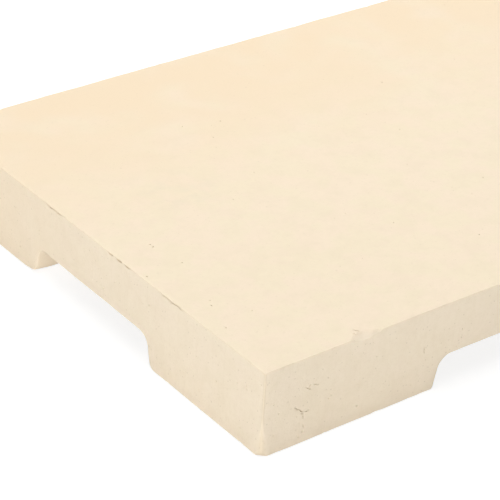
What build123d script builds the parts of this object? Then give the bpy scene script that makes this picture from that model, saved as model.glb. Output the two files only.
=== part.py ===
"""A footed soldering block: one fired ceramic plate that stands on four corner feet.

Two wide channels cross under the plate, one along each side, and leave the feet between them.
The frame is in millimetres: +Z up, +X along the long side, origin on the floor under the block's middle.
"""

from build123d import *
import os

# Driving dimensions
LENGTH = 200.0  # long side, along X
WIDTH = 150.0  # short side, along Y
PLATE_THICKNESS = 16.3
FOOT_HEIGHT = 9.2  # from the floor up to the ceiling of the channels
FOOT_LENGTH = 56.0  # one foot at the floor, along X
FOOT_WIDTH = 47.5  # one foot at the floor, along Y
WALL_DRAFT = 12.0  # lean of the channel walls in degrees, which lets the pressed block leave its die

# Rounded edges
CORNER_RADIUS = 1.0  # the four upright corners of the block
INNER_CORNER_RADIUS = 6.0  # the upright corner of a foot where the channels cross, at the floor
ROOT_RADIUS = 4.0  # between a channel wall and the ceiling
LIP_RADIUS = 2.5  # between a channel wall and the sole of a foot
LOWER_RIM_RADIUS = 0.6  # the lower outline of the sides, over the feet and the channel mouths
TOP_EDGE_RADIUS = 0.5  # round the working face

FOOT_SIDES = [(side_x, side_y) for side_x in (-1, 1) for side_y in (-1, 1)]
TOLERANCE = 1e-4


def outline(height):
    """The block's outer outline, raised from the floor to a height."""
    return extrude(RectangleRounded(LENGTH, WIDTH, CORNER_RADIUS), amount=height)


def plate():
    """The slab that carries the work, on top of the feet."""
    return Pos(0, 0, FOOT_HEIGHT) * outline(PLATE_THICKNESS)


def foot(side_x, side_y):
    """One corner foot: a pad with leaning walls, centred on the block's corner and trimmed by its outline."""
    pad = RectangleRounded(2 * FOOT_LENGTH, 2 * FOOT_WIDTH, INNER_CORNER_RADIUS)
    corner = Pos(side_x * LENGTH / 2, side_y * WIDTH / 2)
    return extrude(corner * pad, amount=FOOT_HEIGHT, taper=-WALL_DRAFT) & outline(FOOT_HEIGHT)


def is_inside(edge):
    """True for an edge that lies within the outer outline rather than along it."""
    centre = edge.center()
    return (
        abs(centre.X) < LENGTH / 2 - CORNER_RADIUS
        and abs(centre.Y) < WIDTH / 2 - CORNER_RADIUS
    )


def inner_edges(block, height):
    """The level edges of the channel walls at a height."""
    level = block.edges().filter_by_position(Axis.Z, height - TOLERANCE, height + TOLERANCE)
    return level.filter_by(is_inside)


def lower_rim(block):
    """The closed line round the foot of the sides: soles, lips, channel walls, roots and ceilings."""
    return [
        edge
        for edge in block.edges()
        if edge.bounding_box().max.Z < FOOT_HEIGHT + TOLERANCE and not is_inside(edge)
    ]


def soldering_block():
    """The block in one piece, rounded from the channels outwards."""
    block = plate() + [foot(*sides) for sides in FOOT_SIDES]
    block = fillet(inner_edges(block, FOOT_HEIGHT), ROOT_RADIUS)
    block = fillet(inner_edges(block, 0), LIP_RADIUS)
    block = fillet(lower_rim(block), LOWER_RIM_RADIUS)
    return fillet(block.faces().sort_by(Axis.Z)[-1].edges(), TOP_EDGE_RADIUS)


os.makedirs("parts", exist_ok=True)
export_step(soldering_block(), "parts/soldering_block.step")
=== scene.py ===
# %% [markdown]
# # A soldering block in fired ceramic
# The block is pressed from refractory clay and fired in one piece: a thick plate on four corner feet.
# The CAD frame holds its exact shape. This lesson models the same block again as a used one, with uneven
# faces, crumbled edges, pores and a small crack, and gives it a dry ceramic finish.

# %% Load the CAD frame
import math
import random

import bmesh
import bpy
from mathutils import Matrix, Vector
from mathutils.geometry import intersect_point_line


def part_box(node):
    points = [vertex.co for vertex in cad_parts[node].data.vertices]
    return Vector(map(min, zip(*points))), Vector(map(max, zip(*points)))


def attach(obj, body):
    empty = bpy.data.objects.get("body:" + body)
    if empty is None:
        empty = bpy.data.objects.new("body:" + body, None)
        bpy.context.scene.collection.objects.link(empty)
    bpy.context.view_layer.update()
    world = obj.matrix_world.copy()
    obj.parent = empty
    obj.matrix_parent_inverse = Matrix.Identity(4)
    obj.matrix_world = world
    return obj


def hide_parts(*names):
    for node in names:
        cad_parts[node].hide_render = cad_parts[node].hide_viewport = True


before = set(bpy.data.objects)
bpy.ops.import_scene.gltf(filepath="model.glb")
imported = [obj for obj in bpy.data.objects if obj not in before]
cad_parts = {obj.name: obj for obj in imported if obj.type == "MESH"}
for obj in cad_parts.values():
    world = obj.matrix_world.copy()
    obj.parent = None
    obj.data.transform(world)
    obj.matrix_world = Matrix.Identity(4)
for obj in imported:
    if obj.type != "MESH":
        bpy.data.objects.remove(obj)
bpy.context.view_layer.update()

MM = 0.001
cad_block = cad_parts["soldering_block"]

# %% [markdown]
# ## Measuring the frame
# Every size comes from the CAD solid, so the two models can't drift apart. The outer sizes are its box.
# A ray sent up from the floor finds the ceiling of the channels, and level rays at two heights find how
# far the channel walls stand from the middle and how much they lean.

# %% Measure the CAD block
low, high = (Vector(corner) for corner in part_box("soldering_block"))
LENGTH, WIDTH, HEIGHT = high - low
LOWER_PROBE = 4 * MM
UPPER_PROBE = 5.5 * MM
BESIDE_MIDDLE = 60 * MM


def ray_hit(origin, direction):
    """Where a ray first meets the CAD block."""
    return cad_block.ray_cast(Vector(origin), Vector(direction))[1]


def wall_line(axis):
    """How far a channel wall stands from the middle, at the floor and at the ceiling."""
    way = Vector((1, 0, 0) if axis == 0 else (0, 1, 0))
    beside = BESIDE_MIDDLE * Vector((way.y, way.x, 0))
    lower = ray_hit(beside + Vector((0, 0, LOWER_PROBE)), way)[axis]
    upper = ray_hit(beside + Vector((0, 0, UPPER_PROBE)), way)[axis]
    slope = (lower - upper) / (UPPER_PROBE - LOWER_PROBE)
    at_floor = lower + slope * LOWER_PROBE
    return at_floor, at_floor - slope * CEILING


CEILING = ray_hit((0, 0, 0), (0, 0, 1)).z
WALL_X, ROOT_X = wall_line(0)
WALL_Y, ROOT_Y = wall_line(1)
WALL_LEAN = math.atan((WALL_X - ROOT_X) / CEILING)
print("ceiling in mm:", round(CEILING / MM, 2), "wall lean in degrees:", round(math.degrees(WALL_LEAN), 1))
print("walls in mm from the middle, at the floor:", round(WALL_X / MM, 2), round(WALL_Y / MM, 2))

# %% [markdown]
# ## The camera
# The photograph was taken towards one corner with a long lens, and its frame was turned a little.
# The heading, height, turn and lens below make the block's straight edges fall on the edges in the photo.
# The same numbers also work backwards: a ray through a pixel shows where a mark lies on the block.

# %% Place the camera
PHOTO_SIZE = 500
PHOTO_MIDDLE = PHOTO_SIZE / 2
SENSOR_WIDTH = 36
FOCAL_PIXELS = 2208
CAMERA_PLACE = Vector((-376.91, -412.18, 320.19)) * MM
HEADING = math.radians(38.693)
LOOKING_DOWN = math.radians(30.851)
TURN = math.radians(3.291)

camera_data = bpy.data.cameras.new("camera")
camera_data.sensor_width = SENSOR_WIDTH
camera_data.lens = FOCAL_PIXELS / PHOTO_SIZE * SENSOR_WIDTH
camera = bpy.data.objects.new("camera", camera_data)
bpy.context.scene.collection.objects.link(camera)
turn_to_heading = Matrix.Rotation(-HEADING, 3, "Z")
tip_down = Matrix.Rotation(math.pi / 2 - LOOKING_DOWN, 3, "X")
camera_turn = turn_to_heading @ tip_down @ Matrix.Rotation(TURN, 3, "Z")
camera.location = CAMERA_PLACE
camera.rotation_euler = camera_turn.to_euler()
bpy.context.scene.camera = camera
print("lens in mm:", round(camera_data.lens, 1))


# %% Find a mark of the photo on the block
def on_plane(pixel, axis, level):
    """The point that a pixel shows on a plane that is square to an axis."""
    right = (pixel[0] - PHOTO_MIDDLE) / FOCAL_PIXELS
    down = (pixel[1] - PHOTO_MIDDLE) / FOCAL_PIXELS
    ray = camera_turn @ Vector((right, -down, -1))
    return CAMERA_PLACE + ray * ((level - CAMERA_PLACE[axis]) / ray[axis])


def on_top(pixel):
    """A pixel's point on the working face."""
    return on_plane(pixel, 2, HEIGHT)


def on_end(pixel):
    """A pixel's point on the short face at the left of the photo."""
    return on_plane(pixel, 0, -LENGTH / 2)


def on_front(pixel):
    """A pixel's point on the long face at the right of the photo."""
    return on_plane(pixel, 1, -WIDTH / 2)


NEAR_TOP_CORNER = (267, 373)
print("the near top corner in mm:", on_top(NEAR_TOP_CORNER) / MM)

# %% [markdown]
# ## The stage
# A wide pale floor, a white surround and soft lamps. The lamps give about the light at which a colour
# renders as it is written. For the camera the surround is white, and the floor is lifted towards white,
# so that only the soft shadow round the feet shows on it.


# %% Node outputs that take part in sums
class Wire:
    """An output of a node. Arithmetic on wires adds Math nodes to their tree."""

    def __init__(self, tree, kind, settings=(), sockets=(), output=0):
        """Add a node of any kind: its settings first, then a value or a wire for each socket."""
        self.tree = tree
        self.node = tree.nodes.new(kind)
        for name, value in dict(settings).items():
            setattr(self.node, name, value)
        for name, value in dict(sockets).items():
            if isinstance(value, Wire):
                tree.links.new(value.out, self.node.inputs[name])
            else:
                self.node.inputs[name].default_value = value
        self.out = self.node.outputs[output] if self.node.outputs else None

    def math(self, operation, *values):
        """A Math node over wires and numbers."""
        return Wire(self.tree, "ShaderNodeMath", {"operation": operation}, dict(enumerate(values)))

    def __add__(self, other):
        return self.math("ADD", self, other)

    def __radd__(self, other):
        return self.math("ADD", other, self)

    def __sub__(self, other):
        return self.math("SUBTRACT", self, other)

    def __rsub__(self, other):
        return self.math("SUBTRACT", other, self)

    def __mul__(self, other):
        return self.math("MULTIPLY", self, other)

    def __rmul__(self, other):
        return self.math("MULTIPLY", other, self)

    def __pow__(self, other):
        return self.math("POWER", self, other)

    def largest(self, other):
        return self.math("MAXIMUM", self, other)

    def smallest(self, other):
        return self.math("MINIMUM", self, other)

    def step(self, start, end):
        """0 at start, 1 at end, and a soft slope between them."""
        sockets = {"Value": self, "From Min": start, "From Max": end}
        return Wire(self.tree, "ShaderNodeMapRange", {"interpolation_type": "SMOOTHSTEP"}, sockets)


def blank_tree(owner):
    """The emptied node tree of a material or a world."""
    owner.use_nodes = True
    owner.node_tree.nodes.clear()
    return owner.node_tree


def seen_directly(tree):
    """1 for rays from the camera, and for what shows in gloss and through glass."""
    camera_ray, glossy_ray, clear_ray = (
        Wire(tree, "ShaderNodeLightPath", output=name)
        for name in ("Is Camera Ray", "Is Glossy Ray", "Is Transmission Ray")
    )
    return camera_ray.largest(glossy_ray).largest(clear_ray)


# %% Floor
FLOOR_SIZE = 8.0
FLOOR_COLOUR = (0.92, 0.92, 0.92, 1)
SHOWN_COLOUR = (0.3, 0.3, 0.3, 1)
SHOWN_GLOW = 0.84

bpy.ops.object.select_all(action="DESELECT")
bpy.ops.mesh.primitive_plane_add(size=FLOOR_SIZE)
floor = bpy.context.object
floor.name = "floor"
floor_finish = bpy.data.materials.new("pale_floor")
floor.data.materials.append(floor_finish)
tree = blank_tree(floor_finish)
matte = Wire(tree, "ShaderNodeBsdfDiffuse", sockets={"Color": FLOOR_COLOUR})
shown = Wire(tree, "ShaderNodeBsdfDiffuse", sockets={"Color": SHOWN_COLOUR})
glow = Wire(tree, "ShaderNodeEmission", sockets={"Strength": SHOWN_GLOW})
lifted = Wire(tree, "ShaderNodeAddShader", sockets={0: shown, 1: glow})
floor_shown = Wire(tree, "ShaderNodeMixShader", sockets={0: seen_directly(tree), 1: matte, 2: lifted})
Wire(tree, "ShaderNodeOutputMaterial", sockets={"Surface": floor_shown})
print("floor side in metres:", FLOOR_SIZE)

# %% Surround
SURROUND_LIGHT = 0.05
WHITE = (1, 1, 1, 1)

world = bpy.data.worlds.new("surround")
bpy.context.scene.world = world
tree = blank_tree(world)
white = Wire(tree, "ShaderNodeBackground", sockets={"Strength": 1.0, "Color": WHITE})
soft_light = Wire(tree, "ShaderNodeBackground", sockets={"Strength": SURROUND_LIGHT, "Color": WHITE})
surround = Wire(tree, "ShaderNodeMixShader", sockets={0: seen_directly(tree), 1: soft_light, 2: white})
Wire(tree, "ShaderNodeOutputWorld", sockets={"Surface": surround})
bpy.context.scene.view_settings.view_transform = "Standard"
print("surround light:", SURROUND_LIGHT)

# %% Lamps
AIM = Vector((0, 0, 0.01))


def soft_box(name, place, width, height, power):
    """A rectangular lamp that faces the block."""
    lamp_data = bpy.data.lights.new(name, type="AREA")
    lamp_data.shape = "RECTANGLE"
    lamp_data.size = width
    lamp_data.size_y = height
    lamp_data.energy = power
    lamp = bpy.data.objects.new(name, lamp_data)
    bpy.context.scene.collection.objects.link(lamp)
    lamp.location = place
    lamp.rotation_euler = (AIM - Vector(place)).to_track_quat("-Z", "Y").to_euler()
    print(name, power, "W")


soft_box("overhead_lamp", place=(-0.2, 0.1, 1.6), width=1.4, height=1.4, power=18.8)
soft_box("key_lamp", place=(-2.13, -2.07, 0.27), width=1.5, height=0.5, power=53)
soft_box("back_lamp", place=(1.2, 1.6, 1.6), width=1.4, height=1.4, power=42)

# %% [markdown]
# ## The block's body
# On the real block a die presses two crossing channels into the underside and leaves four feet. Here a
# cube becomes the plate. It is cut along the lines where the channel walls meet the ceiling, and the four
# corner fields under it are drawn down as feet. Each sole is then shrunk towards its own corner of the
# block, which leans the inner walls and leaves the outer faces upright. A boolean cut could make the same
# channels, but it would leave no clean edges for the roundings that follow.

# %% Select by place
NEAR = 0.01 * MM


def choose(kind, wanted):
    """In edit mode, select the vertices, edges or faces that pass a test."""
    bpy.ops.mesh.select_mode(type=kind)
    bpy.ops.mesh.select_all(action="DESELECT")
    mesh = bmesh.from_edit_mesh(bpy.context.edit_object.data)
    elements = {"VERT": mesh.verts, "EDGE": mesh.edges, "FACE": mesh.faces}[kind]
    chosen = [element for element in elements if wanted(element)]
    for element in chosen:
        element.select_set(True)
    mesh.select_flush_mode()
    bmesh.update_edit_mesh(bpy.context.edit_object.data)
    return len(chosen)


def slice_at(axis, level):
    """Cut the whole mesh along a plane that is square to an axis, and keep both sides."""
    bpy.ops.mesh.select_all(action="SELECT")
    normal = [0, 0, 0]
    normal[axis] = 1
    place = [0, 0, 0]
    place[axis] = level
    bpy.ops.mesh.bisect(plane_co=place, plane_no=normal, threshold=NEAR)


# %% Plate
bpy.ops.object.select_all(action="DESELECT")
bpy.ops.mesh.primitive_cube_add(size=1, location=(0, 0, (CEILING + HEIGHT) / 2))
block = bpy.context.object
block.name = "ceramic_block"
block.scale = (LENGTH, WIDTH, HEIGHT - CEILING)
bpy.ops.object.transform_apply(location=True, rotation=True, scale=True)
bpy.ops.object.mode_set(mode="EDIT")
for side in (-1, 1):
    slice_at(0, side * ROOT_X)
    slice_at(1, side * ROOT_Y)
print("plate thickness in mm:", round((HEIGHT - CEILING) / MM, 2))


# %% Feet
FACING_DOWN = -0.5
FLAT_ANGLE = math.radians(1)


def under_a_corner(face):
    """True for the four fields of the underside that become feet."""
    centre = face.calc_center_median()
    return face.normal.z < FACING_DOWN and abs(centre.x) > ROOT_X and abs(centre.y) > ROOT_Y


def is_sole(face, side_x, side_y):
    """True for the sole of the foot at one corner of the block."""
    centre = face.calc_center_median()
    on_floor = face.normal.z < FACING_DOWN and centre.z < NEAR
    return on_floor and centre.x * side_x > 0 and centre.y * side_y > 0


feet = choose("FACE", under_a_corner)
bpy.ops.mesh.extrude_region_move(TRANSFORM_OT_translate={"value": (0, 0, -CEILING)})
SOLE_SCALE = (
    (LENGTH / 2 - WALL_X) / (LENGTH / 2 - ROOT_X),
    (WIDTH / 2 - WALL_Y) / (WIDTH / 2 - ROOT_Y),
    1,
)
for side_x in (-1, 1):
    for side_y in (-1, 1):
        choose("FACE", lambda face: is_sole(face, side_x, side_y))
        block_corner = (side_x * LENGTH / 2, side_y * WIDTH / 2, 0)
        bpy.ops.transform.resize(value=SOLE_SCALE, center_override=block_corner)
bpy.ops.mesh.select_all(action="SELECT")
bpy.ops.mesh.dissolve_limited(angle_limit=FLAT_ANGLE)
print("feet:", feet)

# %% [markdown]
# ## Rounded edges
# The die has rounded corners, and the outer edges are rubbed down a little before firing. Bevels with a
# few segments make them in the order in which they build on each other: first the upright corners of the
# feet, then the roots and lips of the channel walls, and last the outer rims, which then run round the
# finished channel mouths in one closed line. The lips are sharper along Y than along X, so a Bevel modifier
# with a weight for each edge makes them. A bevel by angle would give all edges one radius.

# %% Round the edges
CORNER_RADIUS = 0.3 * MM
INNER_CORNER_RADIUS = 6.5 * MM
ROOT_RADIUS = 4.0 * MM
LIP_RADIUS = 2.8 * MM
SHARP_LIP_RADIUS = 1.0 * MM
LOWER_RIM_RADIUS = 0.5 * MM
TOP_EDGE_RADIUS = 0.2 * MM
SQUARE = math.radians(90)
LEANING = SQUARE + WALL_LEAN


def is_inside(edge):
    """True for an edge within the outer outline rather than along it."""
    middle = (edge.verts[0].co + edge.verts[1].co) / 2
    return abs(middle.x) < LENGTH / 2 - CORNER_RADIUS and abs(middle.y) < WIDTH / 2 - CORNER_RADIUS


def lowest(edge):
    """The height of an edge's lower end."""
    return min(vertex.co.z for vertex in edge.verts)


def highest(edge):
    """The height of an edge's upper end."""
    return max(vertex.co.z for vertex in edge.verts)


def is_foot_corner(edge):
    """True for the upright edge of a foot between two channel walls."""
    tall = highest(edge) - lowest(edge) > CEILING / 2
    return is_inside(edge) and tall and highest(edge) < CEILING + NEAR


def is_root(edge):
    """True for an edge between a channel wall and the ceiling."""
    return is_inside(edge) and lowest(edge) > CEILING - NEAR and highest(edge) < CEILING + NEAR


def is_lip(edge):
    """True for an edge between a channel wall and a sole."""
    return is_inside(edge) and highest(edge) < NEAR


def is_upright(edge):
    """True for an outer corner of the block."""
    return lowest(edge) < NEAR and highest(edge) > HEIGHT - NEAR


def is_lower_rim(edge):
    """True for the lower outline of the sides, round the soles and the channel mouths."""
    return highest(edge) < CEILING + NEAR and not is_inside(edge)


def is_top_rim(edge):
    """True for the outline of the working face."""
    return lowest(edge) > HEIGHT - NEAR


def round_edges(name, wanted, radius, segments, angle=SQUARE):
    """Bevel edges to a radius. The angle between their faces turns it into the bevel's offset."""
    count = choose("EDGE", wanted)
    offset = radius / math.tan(angle / 2)
    bpy.ops.mesh.bevel(offset=offset, offset_type="OFFSET", segments=segments, profile=0.5, affect="EDGES")
    print(name, "edges:", count)


def lip_weight(edge):
    """The share of the lip radius: 1 along X, less along Y, and between them round a foot's corner."""
    run = edge.verts[1].co - edge.verts[0].co
    turn = math.atan2(abs(run.y), abs(run.x)) / SQUARE
    return 1 + (SHARP_LIP_RADIUS / LIP_RADIUS - 1) * turn


def round_lips(segments):
    """Bevel the lips of the channel walls with a modifier, which takes a weight for each edge."""
    mesh = bmesh.from_edit_mesh(block.data)
    weights = mesh.edges.layers.float.new("bevel_weight_edge")
    lips = [edge for edge in mesh.edges if is_lip(edge)]
    for edge in lips:
        edge[weights] = lip_weight(edge)
    bpy.ops.object.mode_set(mode="OBJECT")
    modifier = block.modifiers.new("lips", "BEVEL")
    modifier.limit_method = "WEIGHT"
    modifier.width = LIP_RADIUS / math.tan(LEANING / 2)
    modifier.segments = segments
    modifier.use_clamp_overlap = False
    bpy.ops.object.modifier_apply(modifier="lips")
    block.data.attributes.remove(block.data.attributes["bevel_weight_edge"])
    bpy.ops.object.mode_set(mode="EDIT")
    print("lip edges:", len(lips))


round_edges("foot corner", is_foot_corner, INNER_CORNER_RADIUS, segments=8)
round_edges("root", is_root, ROOT_RADIUS, segments=6, angle=LEANING)
round_lips(segments=5)
round_edges("upright", is_upright, CORNER_RADIUS, segments=3)
round_edges("lower rim", is_lower_rim, LOWER_RIM_RADIUS, segments=3)
round_edges("top rim", is_top_rim, TOP_EDGE_RADIUS, segments=2)
print("faces after rounding:", len(bmesh.from_edit_mesh(block.data).faces))

# %% [markdown]
# ## Uneven faces and a worn corner
# A pressed and fired face is never quite flat, and the near lower corner is rubbed down from being set
# on it. Two bisect cuts shave that corner, one along the lower half of its upright edge and one across
# its tip. A flat face has no points to move, so the body is then sliced into cells of about two
# millimetres. Smoothing the points round the corner rounds the shaved facets as rubbing does. The edge of
# the channel wall at the left of the photo is rubbed too, and is smoothed in the same way. Last, Displace
# modifiers push all points inwards by fractions of a millimetre, with broad waves and finer ripples.
# Sculpting by hand would look the same, but it can't be repeated exactly.

# %% Shave the near corner
NEAR_CORNER = Vector((-LENGTH / 2, -WIDTH / 2, 0))
DIAGONAL = Vector((1, 1, 0)).normalized()
BAND_HEIGHT = 14 * MM
BAND_DEPTH = (0.9 * MM, 0.12 * MM)
TIP_CUT = Vector((2.6, 1.9, 1.5)) * MM


def shave(place, outward):
    """Cut off what lies outside a plane, and close the cut with a face."""
    bpy.ops.mesh.select_all(action="SELECT")
    bpy.ops.mesh.bisect(plane_co=place, plane_no=outward, use_fill=True, clear_outer=True, threshold=NEAR)


band_low = NEAR_CORNER + DIAGONAL * BAND_DEPTH[0]
band_high = NEAR_CORNER + DIAGONAL * BAND_DEPTH[1] + Vector((0, 0, BAND_HEIGHT))
band_outward = (band_high - band_low).cross(Vector((1, -1, 0)))
shave(band_low, band_outward if band_outward.x < 0 else -band_outward)
shave(NEAR_CORNER + Vector((TIP_CUT.x, 0, 0)), -Vector((1 / TIP_CUT.x, 1 / TIP_CUT.y, 1 / TIP_CUT.z)))
print("faces after shaving:", len(bmesh.from_edit_mesh(block.data).faces))

# %% Slice into cells
CELL = 2.2 * MM
FINER_REACH = 9 * MM
FAR_FINER_REACH = 6 * MM
FAR_WALL_FOOT = Vector((-LENGTH / 2, WALL_Y, 0))
FAR_WALL_ROOT = Vector((-LENGTH / 2, ROOT_Y, CEILING))


def from_far_wall(point):
    """How far a point is from the upright edge of the channel wall at the left of the photo."""
    share = intersect_point_line(point, FAR_WALL_FOOT, FAR_WALL_ROOT)[1]
    return (point - FAR_WALL_FOOT.lerp(FAR_WALL_ROOT, min(max(share, 0), 1))).length


def slice_into_cells(axis, start, end):
    """Parallel slices about a cell apart."""
    count = round((end - start) / CELL)
    for number in range(1, count):
        slice_at(axis, start + (end - start) * number / count)


slice_into_cells(0, -LENGTH / 2, LENGTH / 2)
slice_into_cells(1, -WIDTH / 2, WIDTH / 2)
slice_into_cells(2, 0, HEIGHT)
choose("FACE", lambda face: (face.calc_center_median() - NEAR_CORNER).length < FINER_REACH)
bpy.ops.mesh.subdivide(number_cuts=1)
choose("FACE", lambda face: from_far_wall(face.calc_center_median()) < FAR_FINER_REACH)
bpy.ops.mesh.subdivide(number_cuts=1)
print("cells:", len(bmesh.from_edit_mesh(block.data).faces))

# %% Rub the worn corners round
RUB_REACH = 6.5 * MM
RUB_PASSES = 7
FAR_RUB_REACH = 4.5 * MM
FAR_RUB_PASSES = 40

rubbed = choose("VERT", lambda vertex: (vertex.co - NEAR_CORNER).length < RUB_REACH)
bpy.ops.mesh.vertices_smooth(factor=0.5, repeat=RUB_PASSES)
rubbed += choose("VERT", lambda vertex: from_far_wall(vertex.co) < FAR_RUB_REACH)
bpy.ops.mesh.vertices_smooth(factor=0.5, repeat=FAR_RUB_PASSES)
bpy.ops.object.mode_set(mode="OBJECT")
print("rubbed points:", rubbed)

# %% Uneven faces
WAVE_SIZE = 18 * MM
WAVE_DEPTH = 0.18 * MM
RIPPLE_SIZE = 4 * MM
RIPPLE_DEPTH = 0.08 * MM
CLOUD_CONTRAST = 1.8


def push_inwards(name, size, depth):
    """Displace every point inwards by up to a depth, in clouds of a size."""
    clouds = bpy.data.textures.new(name, "CLOUDS")
    clouds.noise_scale = size
    clouds.contrast = CLOUD_CONTRAST
    clouds.use_clamp = True
    modifier = block.modifiers.new(name, "DISPLACE")
    modifier.texture = clouds
    modifier.texture_coords = "LOCAL"
    modifier.mid_level = 1
    modifier.strength = depth
    bpy.ops.object.modifier_apply(modifier=name)


push_inwards("waves", WAVE_SIZE, WAVE_DEPTH)
push_inwards("ripples", RIPPLE_SIZE, RIPPLE_DEPTH)
heights = [vertex.co.z / MM for vertex in block.data.vertices]
print("lowest and highest points in mm:", round(min(heights), 2), round(max(heights), 2))

# %% [markdown]
# ## Chips, grooves and a crack
# A brittle block loses crumbs: a chip from the front edge, thin gaps just under the left rim, pits, short
# scratches and one small branching crack. Each is a bit of clay that has gone, so a rough tool of its size
# is placed there and cut away with a boolean: a pebble for a pit, a splinter for a scratch and a smoother
# cobble for a chip. Moving points could not make a hole that is narrower than a cell. Marks that the photo
# shows are placed by their pixels, and a ray then finds the uneven skin under them. Each tool carries a
# number for dirt and painted shade, which the boolean leaves on the points of the hole, and the finish
# darkens the hole by it.

# %% Rough tools
PEBBLE_ROUGHNESS = 0.16
COBBLE_ROUGHNESS = 0.025
SPLINTER_ROUGHNESS = 0.11
SHAKE_SEED = 5
SPLINTER_SIDES = 7
SPLINTER_CUTS = (-0.75, -0.5, -0.25, 0, 0.25, 0.5, 0.75)
SPLINTER_WIGGLE = (0.9, -1.4, 0.6, 1.7, -0.3, -1.8, 0.8)
SPLINTER_TIP = 0.3


def roughen(name, roughness):
    """Shake the points of the object in edit mode, and give them a value for dirt and painted shade."""
    bpy.ops.mesh.select_all(action="SELECT")
    bpy.ops.transform.vertex_random(offset=roughness, seed=SHAKE_SEED)
    bpy.ops.object.mode_set(mode="OBJECT")
    tool = bpy.context.object
    tool.name = name
    tool.data.attributes.new("dirt_and_shade", "FLOAT", "POINT")
    print(name, "faces:", len(tool.data.polygons))
    return tool


def stone(name, subdivisions, roughness):
    """A rough ball of radius 1."""
    bpy.ops.object.select_all(action="DESELECT")
    bpy.ops.mesh.primitive_ico_sphere_add(subdivisions=subdivisions, radius=1)
    bpy.ops.object.mode_set(mode="EDIT")
    return roughen(name, roughness)


pebble = stone("pebble", subdivisions=2, roughness=PEBBLE_ROUGHNESS)
cobble = stone("cobble", subdivisions=4, roughness=COBBLE_ROUGHNESS)
bpy.ops.object.select_all(action="DESELECT")
bpy.ops.mesh.primitive_cylinder_add(vertices=SPLINTER_SIDES, radius=1, depth=2, rotation=(0, SQUARE, 0))
bpy.ops.object.transform_apply(location=True, rotation=True, scale=True)
bpy.ops.object.mode_set(mode="EDIT")
for level in SPLINTER_CUTS:
    slice_at(0, level)
choose("VERT", lambda vertex: abs(vertex.co.x) > 1 - NEAR)
bpy.ops.transform.resize(value=(1, SPLINTER_TIP, SPLINTER_TIP), center_override=(0, 0, 0))
for level, wiggle in zip(SPLINTER_CUTS, SPLINTER_WIGGLE):
    choose("VERT", lambda vertex: abs(vertex.co.x - level) < NEAR)
    bpy.ops.transform.translate(value=(0, wiggle, 0))
splinter = roughen("splinter", SPLINTER_ROUGHNESS)
block.data.attributes.new("dirt_and_shade", "FLOAT", "POINT")

# %% Place tools and cut them away
DRAW_SEED = 41
draw = random.Random(DRAW_SEED)


def lay(tool, centre, along, normal, half_sizes, dirt_and_shade):
    """A copy of a tool: half sizes along a line on a face, across it and into the face."""
    bpy.ops.object.select_all(action="DESELECT")
    tool.select_set(True)
    bpy.context.view_layer.objects.active = tool
    bpy.ops.object.duplicate()
    copy = bpy.context.object
    angles = [draw.uniform(0, math.tau) for _ in range(3)]
    if tool is splinter:
        angles = (math.pi * round(angles[0] / math.tau), 0, 0)
    copy.rotation_euler = angles
    bpy.ops.object.transform_apply(location=True, rotation=True, scale=True)
    axes = (along.normalized(), normal.cross(along).normalized(), normal.normalized())
    stretch = Matrix([axis * size for axis, size in zip(axes, half_sizes)]).transposed()
    copy.matrix_world = Matrix.Translation(centre) @ stretch.to_4x4()
    bpy.ops.object.transform_apply(location=True, rotation=True, scale=True)
    for point in copy.data.attributes["dirt_and_shade"].data:
        point.value = dirt_and_shade
    return copy


def cut_away(name, copies):
    """Join tools that don't overlap, and take them out of the block."""
    bpy.ops.object.select_all(action="DESELECT")
    for copy in copies:
        copy.select_set(True)
    bpy.context.view_layer.objects.active = copies[0]
    bpy.ops.object.join()
    cutter = bpy.context.object
    bpy.ops.object.select_all(action="DESELECT")
    block.select_set(True)
    bpy.context.view_layer.objects.active = block
    modifier = block.modifiers.new(name, "BOOLEAN")
    modifier.solver = "MANIFOLD"
    modifier.operation = "DIFFERENCE"
    modifier.object = cutter
    bpy.ops.object.modifier_apply(modifier=name)
    bpy.data.objects.remove(cutter)
    print(name, len(copies), "faces now:", len(block.data.polygons))


# %% Marks on the faces
UP = Vector((0, 0, 1))
LEFT = Vector((-1, 0, 0))
FORWARD = Vector((0, -1, 0))
TOP_PITS = (
    (150, 244, 0.22), (153, 246.5, 0.25), (182, 262, 0.21), (210, 300, 0.2), (211.5, 305, 0.25),
    (252, 310, 0.2), (226, 327, 0.23), (146.7, 275.8, 0.24), (382, 82, 0.25), (213, 137, 0.2),
    (254, 172, 0.2), (483, 177, 0.23), (452, 187, 0.14),
)
END_PITS = ((19.7, 246.7, 0.31), (103, 288.6, 0.28), (198, 390, 0.25))
FRONT_PITS = (
    (310.7, 385.7, 0.28), (331, 395, 0.21), (274, 405, 0.21), (357, 406, 0.32), (302.6, 431.3, 0.33),
    (328.7, 398.6, 0.21),
)
TOP_SCRATCHES = (
    ((352.3, 329.2), (359.5, 330.8)), ((352.3, 333), (359.5, 334.4)), ((363, 331), (368, 329.8)),
)
END_SCRATCHES = (((246, 384), (246, 391.5)),)
FRONT_SCRATCHES = (
    ((306, 387.8), (311.8, 389.6)), ((314, 384.6), (319.5, 384.6)), ((303.4, 424.2), (303.4, 427.8)),
)
PIT_STRETCH = (1, 1.4)
PIT_DEPTH = (0.8, 1.1)
# dirt and painted shade: how much darker the finish makes pits and scratches inside
PIT_DIRT_AND_SHADE = 0.3
SCRATCH_WIDTH = 0.2 * MM
SCRATCH_DEPTH = 0.22 * MM
SCRATCH_DIRT_AND_SHADE = 0.15


def on_skin(point, normal):
    """The point of an uneven face that lies under or over a point of the flat one."""
    hit, place, *_ = block.ray_cast(point + normal * MM, -normal)
    return place if hit else point


def pit(find, normal, mark):
    """A round pit at a pixel of the photo, with its radius in millimetres."""
    radius = mark[2] * MM
    sizes = (radius * draw.uniform(*PIT_STRETCH), radius, radius * draw.uniform(*PIT_DEPTH))
    return lay(pebble, on_skin(find(mark), normal), normal.orthogonal(), normal, sizes, PIT_DIRT_AND_SHADE)


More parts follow.
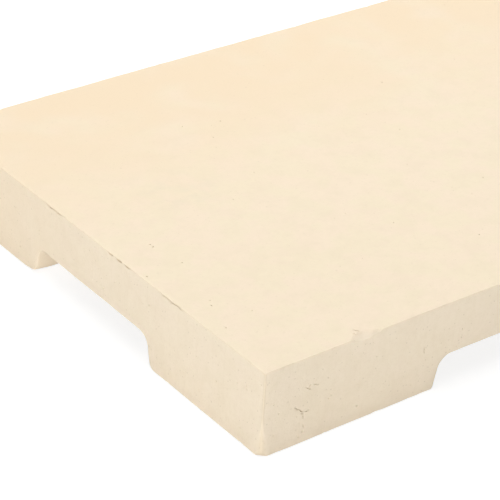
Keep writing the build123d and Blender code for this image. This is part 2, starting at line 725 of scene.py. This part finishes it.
def scratch(find, normal, line, width=SCRATCH_WIDTH, depth=SCRATCH_DEPTH, dirt_and_shade=SCRATCH_DIRT_AND_SHADE):
    """A narrow groove between two pixels of the photo."""
    start, end = (on_skin(find(pixel), normal) for pixel in line)
    along = end - start
    return lay(splinter, (start + end) / 2, along, normal, (along.length / 2, width / 2, depth), dirt_and_shade)


marks = []
for find, normal, pits, lines in (
    (on_top, UP, TOP_PITS, TOP_SCRATCHES),
    (on_end, LEFT, END_PITS, END_SCRATCHES),
    (on_front, FORWARD, FRONT_PITS, FRONT_SCRATCHES),
):
    marks += [pit(find, normal, mark) for mark in pits]
    marks += [scratch(find, normal, line) for line in lines]
cut_away("marks", marks)

# %% Branching crack
CRACK_ARMS = (
    ((294.6, 408.5), (300.7, 410.6)), ((304.8, 412.2), (309.6, 409.9)), ((303, 416), (303.3, 419)),
)
CRACK_HEART = ((300.3, 410), (303.3, 414.6))
DEEP_SCRATCH = ((424.6, 347.5), (424.6, 353.9))
CRACK_WIDTH = 0.22 * MM
HEART_WIDTH = 1.5 * CRACK_WIDTH
CRACK_DEPTH = 0.35 * MM
# dirt and painted shade: how much darker the finish makes the crack inside
CRACK_DIRT_AND_SHADE = 0.3

lines = (*CRACK_ARMS, DEEP_SCRATCH)
arms = [scratch(on_front, FORWARD, line, CRACK_WIDTH, CRACK_DEPTH, CRACK_DIRT_AND_SHADE) for line in lines]
cut_away("crack arms", arms)
heart = scratch(on_front, FORWARD, CRACK_HEART, HEART_WIDTH, CRACK_DEPTH, CRACK_DIRT_AND_SHADE)
cut_away("crack heart", [heart])

# %% Gaps under the left rim
RIM_GAPS = (((45.9, 204.9), (61.2, 215.6)), ((160.4, 294.4), (183.4, 311)))
RIM_NOTCHES = ((110, 254), (118.8, 260.6), (126.8, 266.7))
GAP_DROP = 0.5 * MM
GAP_HEIGHT = 0.24 * MM
GAP_DEPTH = 0.5 * MM
# dirt and painted shade: how much darker the finish makes the gaps under the rim, as painted shadow lines
GAP_DIRT_AND_SHADE = 0.3
NOTCH_SIZES = (1.3 * MM, 0.26 * MM, 0.6 * MM)


def under_left_rim(pixel):
    """A pixel's point along the left rim, just under it."""
    return Vector((-LENGTH / 2, on_end(pixel).y, HEIGHT - GAP_DROP))


gaps = [scratch(under_left_rim, LEFT, line, GAP_HEIGHT, GAP_DEPTH, GAP_DIRT_AND_SHADE) for line in RIM_GAPS]
for pixel in RIM_NOTCHES:
    gaps.append(lay(pebble, under_left_rim(pixel), FORWARD, LEFT, NOTCH_SIZES, GAP_DIRT_AND_SHADE))
cut_away("rim gaps", gaps)

# %% [markdown]
# ## Crumbled edges
# The long chip on the front edge shows in the photo. The small nicks along all the other edges are drawn
# at random, but with a fixed seed, and at a spacing that keeps them from overlapping. The cobble for a
# nick is much larger than the nick and only its belly dips into the edge, which leaves a shallow facet
# instead of a round bite.

# %% Chip and nicks
CHIP_PIXEL = (365.5, 337)
CHIP_DEPTH = 1.25 * MM
CHIP_BELLY = 8 * MM
CHIP_LENGTH = 9 * MM
CHIP_SLOPE = math.radians(20)
NICK_SPACING = 13 * MM
NICK_PLACE = (0.3, 0.7)
NICK_DEPTH = (0.04 * MM, 0.18 * MM)
NICK_BELLY = (1.0 * MM, 2.6 * MM)
NICK_STRETCH = (0.8, 2.2)


def nick(place, along, outward, depth, belly, length):
    """A cobble that dips into an edge by a depth."""
    centre = place + outward.normalized() * (belly - depth)
    return lay(cobble, centre, along, outward, (length, belly, belly), 0)


def edge_lines():
    """The straight outer edges: two ends and the outward direction of each."""
    for side in (-1, 1):
        x, y = LENGTH / 2, side * WIDTH / 2
        yield Vector((-x, y, HEIGHT)), Vector((x, y, HEIGHT)), Vector((0, side, 1))
        x, y = side * LENGTH / 2, WIDTH / 2
        yield Vector((x, -y, HEIGHT)), Vector((x, y, HEIGHT)), Vector((side, 0, 1))
        for other in (-1, 1):
            x, y = other * LENGTH / 2, side * WIDTH / 2
            yield Vector((x, y, 0)), Vector((other * WALL_X, y, 0)), Vector((0, side, -1))
            yield Vector((x, y, 0)), Vector((x, side * WALL_Y, 0)), Vector((other, 0, -1))
            yield Vector((x, y, 0)), Vector((x, y, HEIGHT)), Vector((other, side, 0))


def nicks_along(start, end, outward):
    """Nicks at uneven places along one edge, clear of its ends."""
    count = int((end - start).length / NICK_SPACING)
    for number in range(count):
        place = start.lerp(end, (number + draw.uniform(*NICK_PLACE)) / count)
        place = on_skin(place, outward.normalized())
        depth = draw.uniform(*NICK_DEPTH)
        belly = draw.uniform(*NICK_BELLY)
        yield nick(place, end - start, outward, depth, belly, belly * draw.uniform(*NICK_STRETCH))


chip_place = Vector((on_front(CHIP_PIXEL).x, -WIDTH / 2, HEIGHT))
chip_outward = FORWARD * math.sin(CHIP_SLOPE) + UP * math.cos(CHIP_SLOPE)
chip = nick(chip_place, Vector((1, 0, 0)), chip_outward, CHIP_DEPTH, CHIP_BELLY, CHIP_LENGTH)
cut_away("chip", [chip])
nicks = [copy for line in edge_lines() for copy in nicks_along(*line)]
cut_away("nicks", nicks)

# %% [markdown]
# ## Pores
# Gas and burnt-out bits leave pores in fired clay, more of them on the sides than on the pressed level
# faces. There are far too many to lay by hand. Geometry Nodes scatters points over a plain box of the
# block's size, which gives the same points in every run, and keeps them apart. It drops the points over
# the channels, moves the others onto the skin, puts a small pebble on each and realizes them as one mesh,
# which is cut away at once. A bump texture could draw pores too, but it would leave the mesh without them
# and vanish at a grazing view.

# %% Scatter pores
PORE_SPACING = 2.2 * MM
PORE_REACH = 0.5 * MM
PORES_PER_SQUARE_METRE = 55000
PRESSED_SHARE = 0.07
PORE_RADIUS = (0.1 * MM, 0.26 * MM)
PORE_SKEW = 3.0
PORE_SIZE_SEED = 3
PORE_TURN_SEED = 4
LEVEL_STEP = (0.5, 0.8)
# dirt and painted shade: how much darker the finish makes the pores inside
PORE_DIRT_AND_SHADE = 0.2

for point in pebble.data.attributes["dirt_and_shade"].data:
    point.value = PORE_DIRT_AND_SHADE
pores = bpy.data.node_groups.new("pores", "GeometryNodeTree")
pores.interface.new_socket("Geometry", in_out="INPUT", socket_type="NodeSocketGeometry")
pores.interface.new_socket("Geometry", in_out="OUTPUT", socket_type="NodeSocketGeometry")
box = Wire(pores, "NodeGroupInput")
normal = Wire(pores, "GeometryNodeInputNormal")
facing = Wire(pores, "ShaderNodeSeparateXYZ", sockets={0: normal}, output="Z")
level = facing.largest(-1 * facing)
share = 1 - level.step(*LEVEL_STEP) * (1 - PRESSED_SHARE)
points = Wire(
    pores,
    "GeometryNodeDistributePointsOnFaces",
    {"distribute_method": "POISSON"},
    {
        "Mesh": box,
        "Distance Min": PORE_SPACING,
        "Density Max": PORES_PER_SQUARE_METRE,
        "Density Factor": share,
    },
)
skin = Wire(pores, "GeometryNodeObjectInfo", sockets={"Object": block}, output="Geometry")
skin_place, skin_gap = (
    Wire(pores, "GeometryNodeProximity", {"target_element": "FACES"}, {0: skin}, output=name)
    for name in ("Position", "Distance")
)
over_hollow = skin_gap.math("GREATER_THAN", skin_gap, PORE_REACH)
kept = Wire(pores, "GeometryNodeDeleteGeometry", {"domain": "POINT"}, {0: points, 1: over_hollow})
placed = Wire(pores, "GeometryNodeSetPosition", sockets={"Geometry": kept, "Position": skin_place})
chance = Wire(
    pores,
    "FunctionNodeRandomValue",
    {"data_type": "FLOAT"},
    {2: 0.0, 3: 1.0, 8: PORE_SIZE_SEED},
    output=1,
)
turn = Wire(
    pores,
    "FunctionNodeRandomValue",
    {"data_type": "FLOAT_VECTOR"},
    {0: (0, 0, 0), 1: (math.tau, math.tau, math.tau), 8: PORE_TURN_SEED},
)
size = chance**PORE_SKEW * (PORE_RADIUS[1] - PORE_RADIUS[0]) + PORE_RADIUS[0]
grain = Wire(pores, "GeometryNodeObjectInfo", sockets={"Object": pebble}, output="Geometry")
scattered = Wire(
    pores,
    "GeometryNodeInstanceOnPoints",
    sockets={"Points": placed, "Instance": grain, "Rotation": turn, "Scale": size},
)
realized = Wire(pores, "GeometryNodeRealizeInstances", sockets={"Geometry": scattered})
Wire(pores, "NodeGroupOutput", sockets={0: realized})

bpy.ops.object.select_all(action="DESELECT")
bpy.ops.mesh.primitive_cube_add(size=1, location=(0, 0, HEIGHT / 2))
pore_pebbles = bpy.context.object
pore_pebbles.scale = (LENGTH, WIDTH, HEIGHT)
bpy.ops.object.transform_apply(location=True, rotation=True, scale=True)
modifier = pore_pebbles.modifiers.new("pores", "NODES")
modifier.node_group = pores
bpy.ops.object.modifier_apply(modifier="pores")
print("pores:", len(pore_pebbles.data.vertices) // len(pebble.data.vertices))
cut_away("pores", [pore_pebbles])
for tool in (pebble, cobble, splinter):
    bpy.data.objects.remove(tool)

# %% [markdown]
# ## The fired ceramic
# Unglazed clay is dry and matte. Its cream colour drifts a little between rosy and straw-coloured, with
# darker patches, a fine grain and tiny dark specks of grit, which are sparser on the top. The back of the
# block is a little warmer. The sides get a cooler painted tint for the cooler light on them, the channels
# are painted paler as painted bounce light, and the near upright edge is darkened with painted shade that
# dulls its highlight. A faint grey smear lies on the top, and holes are darker inside, with dirt and
# painted shade. All of it is read from the block's own coordinates, so it stays put in every view, and a
# fine bump gives the grain under the light.
# A painted texture could hold the same colours, but it would need an unwrapped mesh.

# %% Colours and noises
ROSY = (0.900, 0.762, 0.592, 1)
STRAW = (0.886, 0.768, 0.578, 1)
SHADED = (0.82, 0.70, 0.525, 1)
# the grain colour, also used as painted shade on the near upright edge
GRAIN_AND_EDGE_SHADE = (0.74, 0.62, 0.45, 1)
GRIT = (0.56, 0.46, 0.32, 1)
# dirt and painted shade: the darker colour inside holes, gaps and cracks
HOLE_DIRT_AND_SHADE = (0.45, 0.36, 0.24, 1)
WARM = (0.886, 0.726, 0.525, 1)
# painted light: a cooler tint on the sides that stands in for the cooler light falling on them
SIDE_LIGHT_TINT = (0.885, 0.774, 0.616, 1)
SMEAR = (0.72, 0.665, 0.51, 1)
# painted light: a paler colour on the channel walls and ceiling that stands in for bounce light there
CHANNEL_PAINTED_LIGHT = (0.95, 0.82, 0.64, 1)

finish = bpy.data.materials.new("fired_ceramic")
tree = blank_tree(finish)
place = Wire(tree, "ShaderNodeTexCoord", output="Object")


def clouds(size, detail=2.0):
    """Soft noise, from 0 to 1, with features of a size in metres."""
    sockets = {"Vector": place, "Scale": 1 / size, "Detail": detail, "Roughness": 0.55}
    return Wire(tree, "ShaderNodeTexNoise", sockets=sockets)


def grit(size, radius):
    """1 in small round grains inside cells of a size in metres."""
    sockets = {"Vector": place, "Scale": 1 / size}
    cells = Wire(tree, "ShaderNodeTexVoronoi", {"feature": "F1"}, sockets, output="Distance")
    return 1 - cells.step(0.6 * radius / size, radius / size)


def blend(low, high, factor):
    """A colour between two others."""
    return Wire(tree, "ShaderNodeMix", {"data_type": "RGBA"}, {0: factor, 6: low, 7: high}, output=2)


def near_point(centre, start, end):
    """1 within a start distance of a point, and 0 beyond an end distance."""
    sockets = {0: place, 1: centre}
    distance = Wire(tree, "ShaderNodeVectorMath", {"operation": "DISTANCE"}, sockets, output="Value")
    return distance.step(end, start)


# %% Where the looks differ
TOP_SKIN = 1 * MM
WARM_BAND = (-15 * MM, 70 * MM)
WARM_CLOUD = 25 * MM
WARM_LOSS = 0.5
SMEAR_PIXEL = (182, 190)
SMEAR_REACH = (4 * MM, 16 * MM)
SMEAR_CLOUD = 5 * MM
EDGE_LINE = (0.9 * MM, 0.3 * MM)
FACET_START = (0.15 * MM, 0.45 * MM)
FACET_REACH = (3 * MM, 1.5 * MM)
SHELTER_START = (0.3 * MM, 1 * MM)
SHELTER_BLEND = 0.5 * MM

x, y, z = (Wire(tree, "ShaderNodeSeparateXYZ", sockets={0: place}, output=name) for name in "XYZ")
below_top = z.step(HEIGHT, HEIGHT - TOP_SKIN)
warm_side = y.step(*WARM_BAND) * clouds(WARM_CLOUD).step(0.2, 0.6) * (1 - below_top * WARM_LOSS)
smear = near_point(on_top(SMEAR_PIXEL), *SMEAR_REACH) * clouds(SMEAR_CLOUD).step(0.4, 0.65)
from_end, from_front = x + LENGTH / 2, y + WIDTH / 2
from_near_edge = (from_end**2 + from_front**2) ** 0.5
near_line = from_near_edge.step(*EDGE_LINE)
near_facet = from_end.smallest(from_front).step(*FACET_START) * from_near_edge.step(*FACET_REACH)
# painted shade mask: the near upright edge and its shaved facet, darkened to dull the highlight on them
painted_edge_shade = near_line.largest(near_facet) * below_top
from_sides = from_end.smallest(from_front).smallest(LENGTH / 2 - x).smallest(WIDTH / 2 - y)
under_plate = z.step(CEILING + SHELTER_BLEND, CEILING - SHELTER_BLEND)
# painted light mask: the faces under the plate, away from the outer sides, which are painted paler
channel_painted_light = from_sides.step(*SHELTER_START) * under_plate
# dirt and painted shade: the value that the tools left in holes, gaps and cracks
dirt_and_shade = Wire(tree, "ShaderNodeAttribute", {"attribute_name": "dirt_and_shade"}, output="Fac")
print("smear in mm:", on_top(SMEAR_PIXEL) / MM)

# %% Grain and grit
FINE_SIZE = 0.55 * MM
PATCH_SIZE = 6 * MM
MOTTLE_SIZE = 1.8 * MM
DRAW_MARK_SIZE = 0.9 * MM
DRAW_MARK_STRETCH = (1, 1, 14)
SPECK_CELL = 1.7 * MM
SPECK_RADIUS = 0.24 * MM
SPARSE_CELL = 3.2 * MM
SPARSE_RADIUS = 0.36 * MM
SPARSE_CLOUD = 4 * MM

fine = clouds(FINE_SIZE, 3.0)
patches = clouds(PATCH_SIZE, 3.0)
mottle = clouds(MOTTLE_SIZE)
stretch = {"Vector": place, "Scale": DRAW_MARK_STRETCH}
upright = Wire(tree, "ShaderNodeMapping", {"vector_type": "TEXTURE"}, stretch)
streaks = {"Vector": upright, "Scale": 1 / DRAW_MARK_SIZE, "Detail": 2.0}
draw_marks = Wire(tree, "ShaderNodeTexNoise", sockets=streaks)
speckle = grit(SPECK_CELL, SPECK_RADIUS) * (0.12 + below_top * 0.26)
sparse = grit(SPARSE_CELL, SPARSE_RADIUS) * clouds(SPARSE_CLOUD).step(0.5, 0.65) * (1 - below_top)
print("grit cells in mm:", SPECK_CELL / MM, SPARSE_CELL / MM)

# %% Fired ceramic
TINT_CLOUD = 9 * MM
SIDE_LIGHT_TINT_SHARE = 0.7
PATCH_SHARE = 0.25
DRAW_MARK_SHARE = 0.2
EDGE_SHADE_SHARE = 0.55
SMEAR_SHARE = 0.16
SPARSE_SHARE = 0.22
HOLE_DIRT_AND_SHADE_SHARE = 0.55
GRAIN_HEIGHT = 0.09 * MM
SMOOTH_ANGLE = math.radians(40)

colour = blend(ROSY, STRAW, clouds(TINT_CLOUD).step(0.38, 0.62))
# painted light: the sides get a cooler tint for the cooler light on them
colour = blend(colour, SIDE_LIGHT_TINT, below_top * SIDE_LIGHT_TINT_SHARE)
colour = blend(colour, SHADED, patches.step(0.42, 0.7) * PATCH_SHARE)
colour = blend(colour, SHADED, mottle.step(0.4, 0.7) * (0.16 + below_top * 0.08))
colour = blend(colour, SHADED, draw_marks.step(0.5, 0.75) * below_top * DRAW_MARK_SHARE)
colour = blend(colour, WARM, warm_side)
# painted light: the channels are painted paler, as bounce light would make them
colour = blend(colour, CHANNEL_PAINTED_LIGHT, channel_painted_light)
# painted shade: darkens the near upright edge to dull its highlight
colour = blend(colour, GRAIN_AND_EDGE_SHADE, painted_edge_shade * EDGE_SHADE_SHARE)
colour = blend(colour, SMEAR, smear * SMEAR_SHARE)
colour = blend(colour, GRAIN_AND_EDGE_SHADE, fine.step(0.5, 0.72) * (0.08 + below_top * 0.1))
colour = blend(colour, GRIT, speckle)
colour = blend(colour, GRIT, sparse * SPARSE_SHARE)
# dirt and painted shade: holes, gaps and cracks are darker inside
colour = blend(colour, HOLE_DIRT_AND_SHADE, dirt_and_shade * HOLE_DIRT_AND_SHADE_SHARE)
roughness = 0.84 + fine * 0.12
relief = fine + patches * 0.8 - speckle
bump = Wire(tree, "ShaderNodeBump", sockets={"Strength": 0.5, "Distance": GRAIN_HEIGHT, "Height": relief})
shader = Wire(
    tree,
    "ShaderNodeBsdfPrincipled",
    sockets={"Base Color": colour, "Roughness": roughness, "Normal": bump, "Specular IOR Level": 0.3},
)
Wire(tree, "ShaderNodeOutputMaterial", sockets={"Surface": shader})
block.data.materials.clear()
block.data.materials.append(finish)
print("finish nodes:", len(tree.nodes))

# %% Hand the block to the frame
bpy.ops.object.select_all(action="DESELECT")
block.select_set(True)
bpy.context.view_layer.objects.active = block
bpy.ops.object.shade_smooth_by_angle(angle=SMOOTH_ANGLE)
block.data.calc_loop_triangles()
print("triangles:", len(block.data.loop_triangles))
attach(block, "root")
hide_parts("soldering_block")
